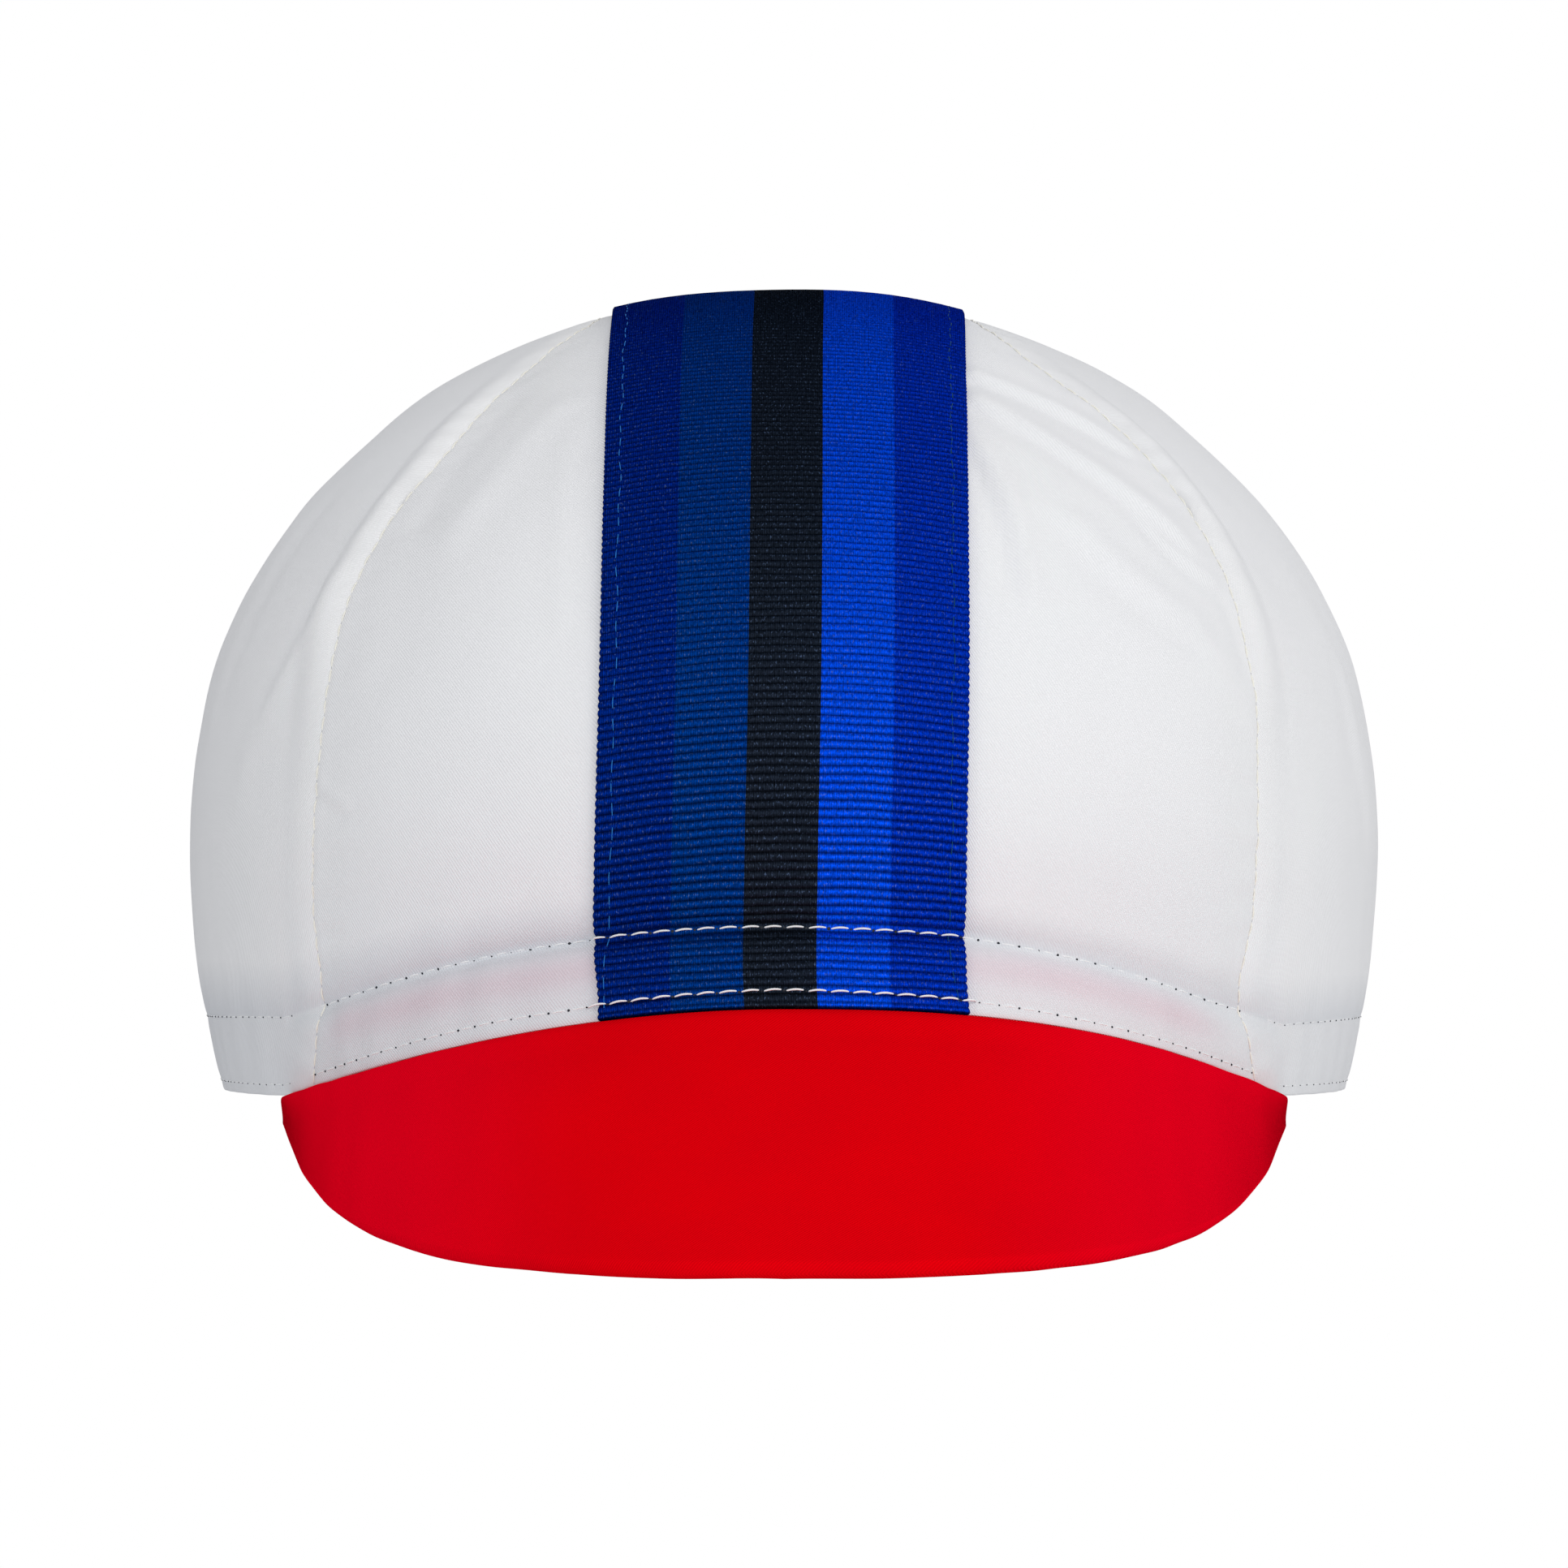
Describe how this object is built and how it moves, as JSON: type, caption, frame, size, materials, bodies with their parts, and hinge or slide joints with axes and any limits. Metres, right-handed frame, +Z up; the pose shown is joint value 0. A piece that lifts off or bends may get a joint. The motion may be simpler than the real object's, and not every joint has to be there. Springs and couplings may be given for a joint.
{
  "type": "cycling cap",
  "caption": "Soft cotton cycling cap with a striped ribbon over a panelled crown, a turned-up hem band and a short peak turned down.",
  "frame": {"origin": "middle of the head opening, in the plane of the rim at the back and sides", "axes": "+Z up out of the crown, -Y to the front where the peak is, +X to the right as seen from the front"},
  "size_m": [0.1642, 0.2537, 0.13],
  "materials": {
    "white_twill": "matte woven cotton",
    "striped_grosgrain": "ribbed ribbon with a slight sheen",
    "red_twill": "matte woven cotton"
  },
  "bodies": {
    "root": {"center_panel": "white_twill", "side_panel_left": "white_twill", "side_panel_right": "white_twill", "ribbon": "striped_grosgrain", "hem_band": "white_twill", "peak": "red_twill"}
  },
  "joints": []
}
